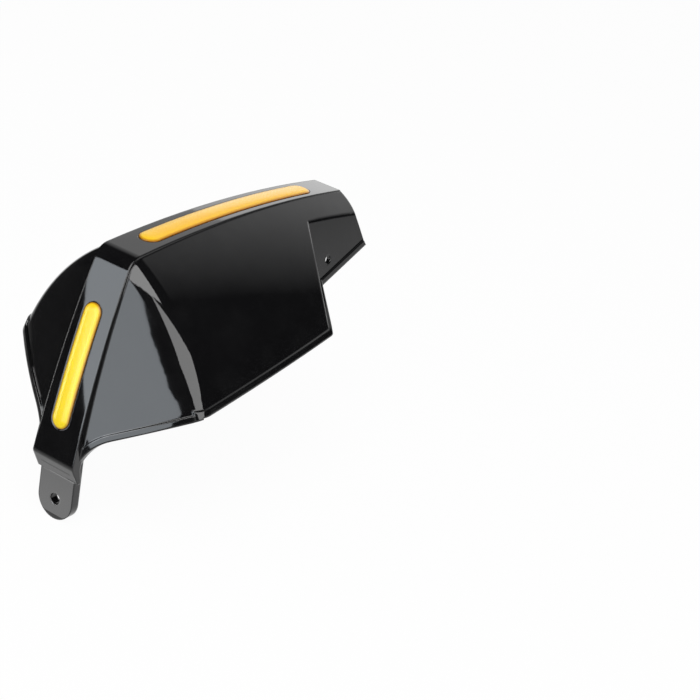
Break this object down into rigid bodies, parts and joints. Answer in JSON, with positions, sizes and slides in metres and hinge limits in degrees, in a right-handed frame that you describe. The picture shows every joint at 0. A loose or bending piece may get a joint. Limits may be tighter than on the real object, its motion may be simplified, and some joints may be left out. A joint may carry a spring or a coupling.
{
  "type": "motorcycle hand guard",
  "caption": "Gloss black moulded hand guard with a flat spine band, curved flanks, a bolt tab and amber reflector strips set in the band.",
  "frame": {"origin": "middle of the bolt hole in the tab, half way through the tab", "axes": "+X from the tab towards the neck, +Z outward from the run of the band, +Y to the side away from the drilled neck pad"},
  "size_m": [0.2442, 0.1346, 0.1631],
  "materials": {
    "black_plastic": "high gloss",
    "amber_reflector": "gloss"
  },
  "bodies": {
    "root": {"guard_shell": "black_plastic", "long_reflector_strip": "amber_reflector", "short_reflector_strip": "amber_reflector"}
  },
  "joints": []
}
